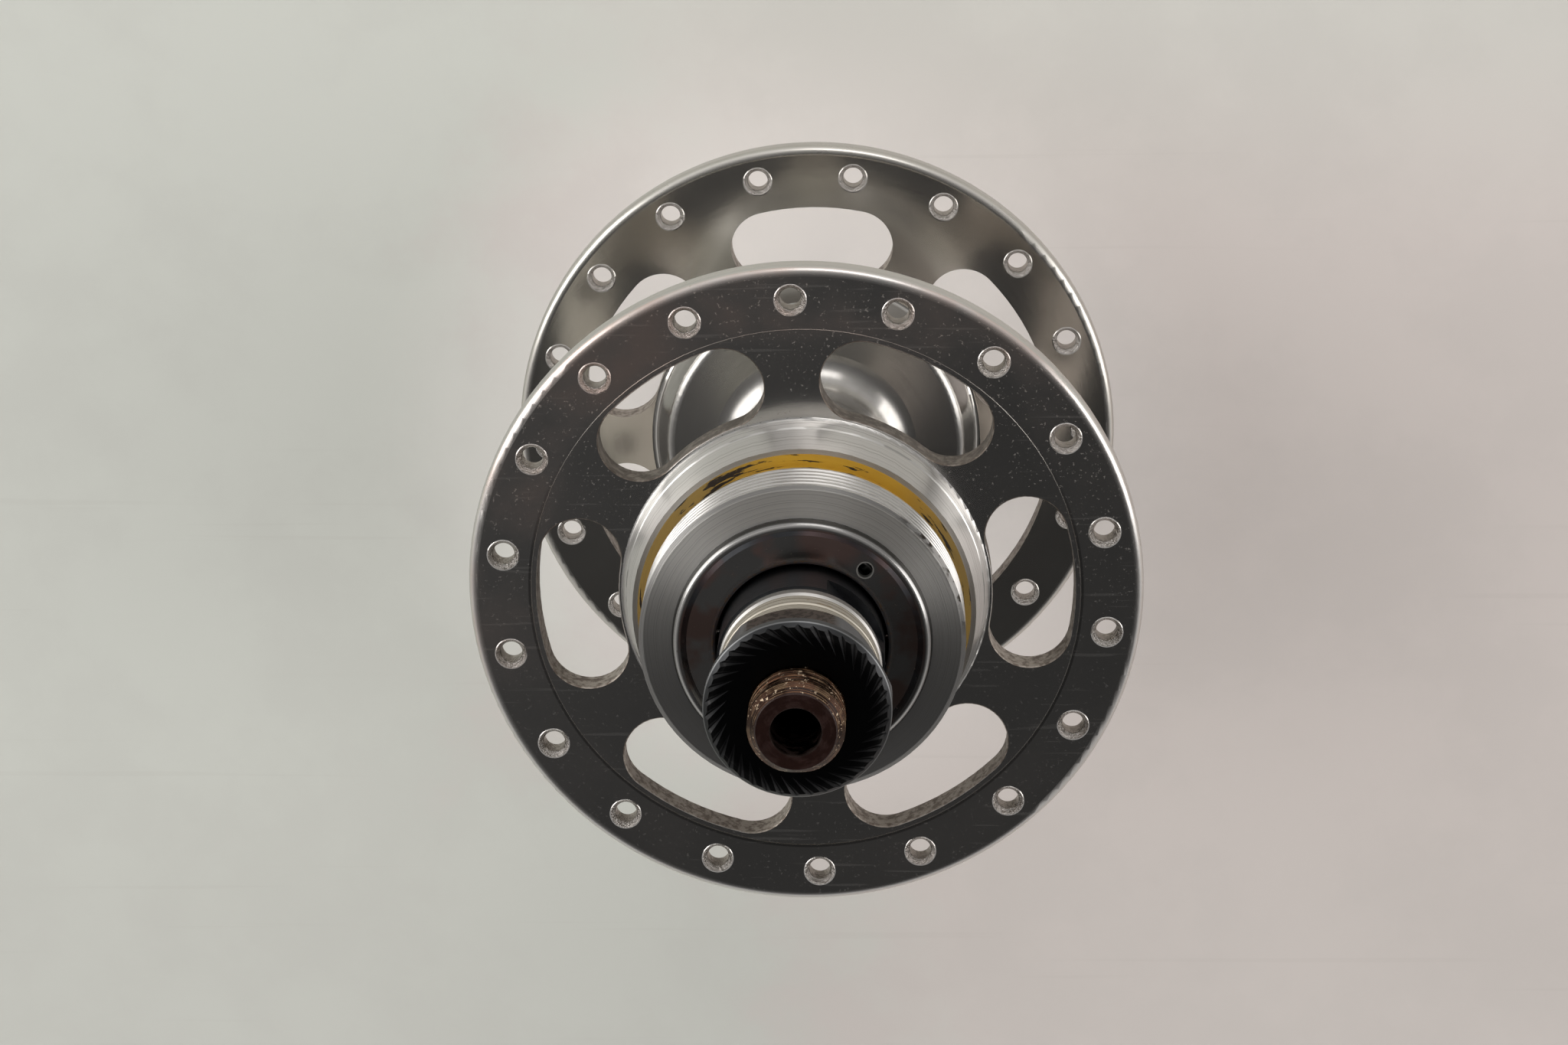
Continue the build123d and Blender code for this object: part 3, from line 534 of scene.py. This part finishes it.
def spacer_material():
    """Yellowed zinc plating with turned lines and a few dirty grooves."""
    s = Shader("plated_spacer")
    turned = s.lines(7.0, 4.0)
    tone = s.mix(s.circling(2.0, 1.5, 0.8, 3.0), ZINC, YELLOWED_ZINC)
    tone = s.mix(s.ramp(turned, 0.50, 0.58), tone, DIRTY_GROOVE)
    tone = s.mix(s.ramp(s.circling(2.5, 3.0, 1.2, 3.0), 0.62, 0.68), tone, BROWN_SPOT)
    return s.finish(tone, s.blend(turned, 0.42, 0.54), 0.7, s.bump(turned, 0.03))


def washer_material():
    """Bare bright steel with fine turned lines."""
    s = Shader("bright_washer")
    turned = s.lines(9.0, 3.0)
    tone = s.mix(turned, BRIGHT_STEEL, TURNED_STEEL)
    return s.finish(tone, s.blend(turned, 0.36, 0.46), 1.0, s.bump(turned, 0.02))


def cone_material():
    """Hardened steel, painted dark as shade."""
    s = Shader("hardened_cone")
    smears = s.noise(0.6, 4.0)
    tone = s.mix(smears, CONE_PAINTED_SHADE, DARKER_CONE_PAINTED_SHADE)
    return s.finish(tone, s.blend(smears, 0.25, 0.40), 1.0, s.bump(s.lines(7.0, 3.0), 0.015))


def bearing_material():
    """Ground bearing steel under a film of grease."""
    s = Shader("bearing_steel")
    smears = s.noise(0.8, 3.0)
    tone = s.mix(smears, BRIGHT_STEEL, FILMED_STEEL)
    return s.finish(tone, s.blend(smears, 0.08, 0.2), 1.0, s.bump(s.noise(4.0), 0.01, None, 0.2))


# Colours of the locknuts
BLACKENED = rgb(0.030, 0.030, 0.031)
GREY_BLACK = rgb(0.055, 0.055, 0.056)
RUBBED_FACE = rgb(0.12, 0.118, 0.118)
INNER_TEETH_PAINTED_SHADE = rgb(0.016, 0.016, 0.017)
BEVEL = rgb(0.045, 0.046, 0.048)
FLANGE_WALL = rgb(0.10, 0.105, 0.112)
WORN_FLANGE_WALL = rgb(0.17, 0.175, 0.18)
BRIGHT_EDGE = rgb(0.22, 0.225, 0.23)
BROWN_FLAT = rgb(0.14, 0.12, 0.105)
RUSTY_FLAT = rgb(0.075, 0.052, 0.042)
RUST_SPOT = rgb(0.03, 0.022, 0.018)
GREY_FLAT = rgb(0.17, 0.17, 0.175)


def nut_flange_tone(s, outer, smears):
    """Black face and teeth, with painted shade on the inner teeth, and a grey bevel, edge and wall."""
    worn = s.circling(3.0, 2.0, 1.0, 4.0)
    rubbed = s.times(s.above(outer, LOCKNUT_RIM + 0.1), s.ramp(worn, 0.54, 0.70, 0.0, 0.6))
    # Painted shade, darkest on the inner part of the teeth.
    inner_teeth_shade = s.ramp(s.radius, TOOTH_FADE, LOCKNUT_RADIUS - 0.6, 1.0, 0.0)
    at_bevel = s.band(s.radius, LOCKNUT_RADIUS - 0.45, LOCKNUT_RADIUS - 0.05, 0.04)
    wall = s.times(s.above(s.radius, LOCKNUT_RADIUS - 0.05), s.above(outer, LOCKNUT_HEX - 0.05))
    at_edge = s.band(s.radius, LOCKNUT_RADIUS - 0.10, LOCKNUT_RADIUS + 0.1, 0.04)
    edge = s.times(at_edge, s.ramp(outer, LOCKNUT_RIM - 0.1, LOCKNUT_RIM + 0.1), 0.8)
    tone = s.mix(smears, BLACKENED, GREY_BLACK)
    tone = s.mix(rubbed, tone, RUBBED_FACE)
    tone = s.mix(inner_teeth_shade, tone, INNER_TEETH_PAINTED_SHADE)
    tone = s.mix(s.times(at_bevel, s.above(outer, LOCKNUT_RIM)), tone, BEVEL)
    tone = s.mix(wall, tone, s.mix(worn, FLANGE_WALL, WORN_FLANGE_WALL))
    return s.mix(edge, tone, BRIGHT_EDGE)


def hexagon_tone(s):
    """Brown and spotted on the top flat and on a strip at the left, grey elsewhere."""
    spots = s.ramp(s.noise(1.6, 3.0, roughness=0.6), 0.50, 0.56)
    flats = s.mix(s.noise(0.9, 4.0), BROWN_FLAT, RUSTY_FLAT)
    flats = s.mix(s.times(spots, 0.8), flats, RUST_SPOT)
    level = s.ramp(s.angle_from(1.65), 0.45, 0.56)
    return s.mix(s.times(level, s.below(s.angle, 3.0)), flats, GREY_FLAT)


def nut_material():
    """Blackened steel, rubbed grey round the flange and rusty on the hexagon."""
    s = Shader("black_locknut")
    outer = s.calc("ABSOLUTE", s.z)
    smears = s.noise(0.8, 4.0)
    hexagon = s.below(outer, LOCKNUT_HEX - 0.05)
    tone = s.mix(hexagon, nut_flange_tone(s, outer, smears), hexagon_tone(s))
    rough = s.blend(hexagon, s.blend(smears, 0.32, 0.42), 0.42)
    metal = s.blend(hexagon, 1.0, 0.8)
    return s.finish(tone, rough, metal, s.bump(s.noise(5.0, 2.0), 0.015, None, 0.15))


# Colours of the axle
BROWN_STEEL = rgb(0.22, 0.145, 0.09)
DARK_BROWN_STEEL = rgb(0.05, 0.027, 0.017)
RUST = rgb(0.17, 0.068, 0.026)
DARK_RUST = rgb(0.05, 0.022, 0.013)
THREAD_LINE = rgb(0.018, 0.010, 0.008)
BARE_SPECK = rgb(0.60, 0.47, 0.34)
END_FACE = rgb(0.012, 0.0045, 0.0035)
RUSTY_END_FACE = rgb(0.024, 0.009, 0.0065)
AXLE_BORE = rgb(0.02, 0.012, 0.01)


def axle_material():
    """Old axle steel: rusty threads and a dark end face."""
    s = Shader("rusty_axle")
    outer = s.calc("ABSOLUTE", s.z)
    smears = s.noise(0.5, 3.0)
    fine = s.lines(3.2, 2.0, 0.1, lean=-0.83)
    rust = s.ramp(s.circling(2.0, 1.4, 0.8, 4.0), 0.44, 0.60)
    specks = s.ramp(s.noise(2.2, 3.0, roughness=0.7), 0.60, 0.66)
    inside_chamfer = s.ramp(s.radius, AXLE_END_RADIUS + 0.05, AXLE_END_RADIUS + 0.2, 1.0, 0.0)
    end_face = s.times(s.above(outer, AXLE_END - 0.4), inside_chamfer)
    tone = s.mix(s.ramp(smears, 0.42, 0.58), BROWN_STEEL, DARK_BROWN_STEEL)
    tone = s.mix(s.times(rust, 0.9), tone, s.mix(smears, RUST, DARK_RUST))
    tone = s.mix(s.ramp(fine, 0.47, 0.53), tone, THREAD_LINE)
    tone = s.mix(s.times(specks, 0.8), tone, BARE_SPECK)
    tone = s.mix(end_face, tone, s.mix(s.noise(1.2, 4.0), END_FACE, RUSTY_END_FACE))
    tone = s.mix(s.below(s.radius, AXLE_BORE_RADIUS + 0.06), tone, AXLE_BORE)
    rough = s.plus(s.blend(smears, 0.34, 0.46), s.times(rust, 0.15))
    metal = s.times(s.minus(1.0, s.times(rust, 0.5)), s.minus(1.0, s.times(end_face, 0.5)))
    normal = s.bump(s.noise(2.2, 3.0), 0.04, None, 0.4)
    normal = s.bump(fine, 0.03, normal, 0.7)
    return s.finish(tone, rough, metal, normal)


# Colours of the board
GREENISH_BOARD = rgb(0.575, 0.584, 0.541)
PINKISH_BOARD = rgb(0.612, 0.560, 0.532)
PAINTED_LIGHT_POOL = rgb(0.86, 0.82, 0.79)
PAINTED_SHADE_AT_BOTTOM = rgb(0.40, 0.39, 0.37)
SMUDGE = rgb(0.42, 0.405, 0.385)
SCRATCH = rgb(0.36, 0.33, 0.30)

# The middle of its painted pool of light, and how far two noises move the border of its pinker side
LIGHT_POOL_MIDDLE = (-4.0, -12.0)
CLOUD_WANDER = 60.0
MOTTLE_WANDER = 110.0


def pink_side(s, cloud, mottle):
    """Mask of the board's pinker right side, ragged, and set back at the bottom of the picture."""
    wander = s.plus(s.times(cloud, CLOUD_WANDER), s.times(mottle, MOTTLE_WANDER))
    wander = s.minus(wander, (CLOUD_WANDER + MOTTLE_WANDER) / 2)
    set_back = s.ramp(s.y, -95.0, -62.0, 35.0, 0.0)
    across = s.minus(s.plus(s.x, wander), set_back)
    return s.times(s.ramp(across, -48.0, -8.0), s.ramp(s.y, 12.0, 55.0, 1.0, 0.3))


def board_material():
    """Pale board, greenish on the left and pinker on the right, with faint smudges, a painted pool of
    light round the hub and painted shade towards the bottom.
    """
    s = Shader("pale_board")
    cloud = s.noise(0.012, 4.0)
    mottle = s.noise(0.035, 6.0, roughness=0.62)
    scratches = s.ramp(s.stretched(0.02, 35.0, 0.45, 3.0), 0.66, 0.72)
    pool_x, pool_y = LIGHT_POOL_MIDDLE
    from_light_pool = s.length(s.minus(s.x, pool_x), s.minus(s.y, pool_y))
    tone = s.mix(pink_side(s, cloud, mottle), GREENISH_BOARD, PINKISH_BOARD)
    # Painted pool of light round the hub.
    tone = s.mix(s.ramp(from_light_pool, 18.0, 62.0, 0.90, 0.0), tone, PAINTED_LIGHT_POOL)
    # Painted shade, darker towards the bottom of the picture.
    tone = s.mix(s.ramp(s.y, -95.0, -50.0, 0.22, 0.0), tone, PAINTED_SHADE_AT_BOTTOM)
    tone = s.mix(s.ramp(mottle, 0.40, 0.62, 0.0, 0.13), tone, SMUDGE)
    tone = s.mix(s.times(scratches, 0.07), tone, SCRATCH)
    normal = s.bump(s.noise(0.5), 0.05, None, 0.2)
    return s.finish(tone, s.blend(cloud, 0.55, 0.65), 0.0, normal, Specular_IOR_Level=0.25)


def dress(material, *nodes):
    """Give CAD nodes their material."""
    for name in nodes:
        for slot in frame["nodes"][name].material_slots:
            slot.material = material


def both(*names):
    """Names of the parts that the hub has on its drive side and on its left."""
    return [f"{side}_{name}" for side in ("drive", "left") for name in names]


BALLS_IN_ROW = 9
balls = [f"ball_{number}" for number in range(1, BALLS_IN_ROW + 1)]
dress(shell_material(), "hub_shell")
dress(cap_material(), *both("dust_cap"))
dress(spacer_material(), "drive_inner_spacer", "drive_outer_spacer", "left_spacer")
dress(washer_material(), *both("lock_washer"))
dress(cone_material(), *both("cone"))
dress(nut_material(), *both("locknut"))
dress(axle_material(), "axle")
dress(bearing_material(), *both("bearing_cup", *balls))


def floor():
    """The board that the hub stands on, on its left axle end."""
    mesh = bpy.data.meshes.new("board")
    half = 3.0
    height = cad_box[0][2]
    corners = [(-half, -half, height), (half, -half, height), (half, half, height), (-half, half, height)]
    mesh.from_pydata(corners, [], [(0, 1, 2, 3)])
    board = bpy.data.objects.new("board", mesh)
    bpy.context.collection.objects.link(board)
    board.data.materials.append(board_material())


# The room: the direction of its dark opening, and greys as pairs of place and lightness. The
# opening's places say how near a direction is to its middle, which is 1. The horizon's places are
# how high a direction points.
OPENING = (0.17, -0.50, 0.85)
OPENING_STOPS = (
    (0.10, 0.78), (0.42, 0.40), (0.60, 0.21), (0.78, 0.110), (0.88, 0.072),
    (0.945, 0.055), (0.968, 0.040), (0.982, 0.020), (1.0, 0.010),
)
HORIZON_STOPS = ((0.0, 0.60), (0.25, 0.38), (0.42, 0.15), (0.60, 0.03))
OPENING_SCALE = 0.7
OPENING_START = 0.3


def shade(tree, value, stops):
    """Slightly warm grey by stops of a value."""
    ramp = tree.nodes.new("ShaderNodeValToRGB")
    tree.links.new(value, ramp.inputs[0])
    while len(ramp.color_ramp.elements) < len(stops):
        ramp.color_ramp.elements.new(0.5)
    for element, (position, grey) in zip(ramp.color_ramp.elements, stops):
        element.position = position
        element.color = rgb(grey, grey * 0.98, grey * 0.96)
    return ramp.outputs[0]


def world():
    """Pale room with a dark opening overhead and away from the camera, which the flat faces reflect."""
    made = bpy.data.worlds.new("room")
    bpy.context.scene.world = made
    made.use_nodes = True
    tree = made.node_tree
    coords = tree.nodes.new("ShaderNodeTexCoord")
    split = tree.nodes.new("ShaderNodeSeparateXYZ")
    tree.links.new(coords.outputs["Generated"], split.inputs[0])
    opening = tree.nodes.new("ShaderNodeVectorMath")
    opening.operation = "DOT_PRODUCT"
    tree.links.new(coords.outputs["Generated"], opening.inputs[0])
    opening.inputs[1].default_value = OPENING
    nearness = tree.nodes.new("ShaderNodeMath")
    nearness.operation = "MULTIPLY_ADD"
    tree.links.new(opening.outputs["Value"], nearness.inputs[0])
    nearness.inputs[1].default_value = OPENING_SCALE
    nearness.inputs[2].default_value = OPENING_START
    lighter = tree.nodes.new("ShaderNodeMix")
    lighter.data_type = "RGBA"
    lighter.blend_type = "LIGHTEN"
    lighter.inputs[0].default_value = 1.0
    tree.links.new(shade(tree, nearness.outputs[0], OPENING_STOPS), lighter.inputs[6])
    tree.links.new(shade(tree, split.outputs[2], HORIZON_STOPS), lighter.inputs[7])
    tree.links.new(lighter.outputs[2], tree.nodes["Background"].inputs[0])


def lamp(name, azimuth, elevation, distance, size, power, color, in_gloss=True):
    """A soft box that looks at the hub from a bearing in degrees, and shows in its polish or not."""
    data = bpy.data.lights.new(name, "AREA")
    data.shape = "RECTANGLE"
    data.size, data.size_y = size
    data.energy = power
    data.color = color
    made = bpy.data.objects.new(name, data)
    bpy.context.collection.objects.link(made)
    turn, rise = math.radians(azimuth), math.radians(elevation)
    towards = Vector((math.cos(turn) * math.cos(rise), math.sin(turn) * math.cos(rise), math.sin(rise)))
    made.location = towards * distance
    made.rotation_euler = towards.to_track_quat("Z", "Y").to_euler()
    made.visible_glossy = in_gloss
    made.visible_camera = False


FILL_ELEVATION = 36.0
FILL_DISTANCE = 2.2
FILL_SIZE = (2.0, 1.5)


def fill(name, azimuth, power, color):
    """A large, high soft box that doesn't show in the polish."""
    lamp(name, azimuth, FILL_ELEVATION, FILL_DISTANCE, FILL_SIZE, power, color, in_gloss=False)


# The photograph's camera, found from the rings and holes in it: its axes, its place in metres and
# its focal length, where the picture is 2048 pixels wide
CAMERA_RIGHT = Vector((0.999488, -0.010580, -0.030184))
CAMERA_DOWN = Vector((0.000016, -0.943538, 0.331264))
CAMERA_AHEAD = Vector((-0.031985, -0.331095, -0.943055))
CAMERA_PLACE = (0.009862, 0.133826, 0.383614)
FOCAL_PIXELS = 4533.4
PICTURE_WIDTH = 2048
SENSOR_WIDTH = 36.0


def camera():
    """The camera at the photograph's viewing angle."""
    data = bpy.data.cameras.new("photo_camera")
    data.sensor_width = SENSOR_WIDTH
    data.lens = SENSOR_WIDTH * FOCAL_PIXELS / PICTURE_WIDTH
    data.clip_start = 0.01
    made = bpy.data.objects.new("photo_camera", data)
    bpy.context.collection.objects.link(made)
    turn = Matrix((CAMERA_RIGHT, -CAMERA_DOWN, -CAMERA_AHEAD)).transposed().to_4x4()
    made.matrix_world = Matrix.Translation(CAMERA_PLACE) @ turn
    bpy.context.scene.camera = made


floor()
world()
lamp(
    "left_softbox", azimuth=158.0, elevation=16.0, distance=1.4, size=(0.84, 0.88),
    power=6.4, color=(1.0, 0.985, 0.96),
)
lamp(
    "right_softbox", azimuth=9.0, elevation=16.0, distance=1.4, size=(0.72, 0.88),
    power=5.2, color=(1.0, 0.975, 0.95),
)
lamp(
    "top_softbox", azimuth=81.0, elevation=24.0, distance=1.6, size=(0.67, 0.45),
    power=2.05, color=(1.0, 0.98, 0.96),
)
fill("left_fill", azimuth=160.0, power=20.6, color=(1.0, 0.995, 0.97))
fill("right_fill", azimuth=10.0, power=13.2, color=(1.0, 0.98, 0.97))
fill("top_fill", azimuth=85.0, power=9.2, color=(1.0, 0.99, 0.98))
fill("near_fill", azimuth=265.0, power=0.6, color=(1.0, 0.99, 0.98))
lamp(
    "ceiling_fill", azimuth=90.0, elevation=90.0, distance=1.5, size=(2.6, 2.6),
    power=9.3, color=(1.0, 0.99, 0.98), in_gloss=False,
)
camera()
bpy.context.scene.view_settings.view_transform = "Standard"
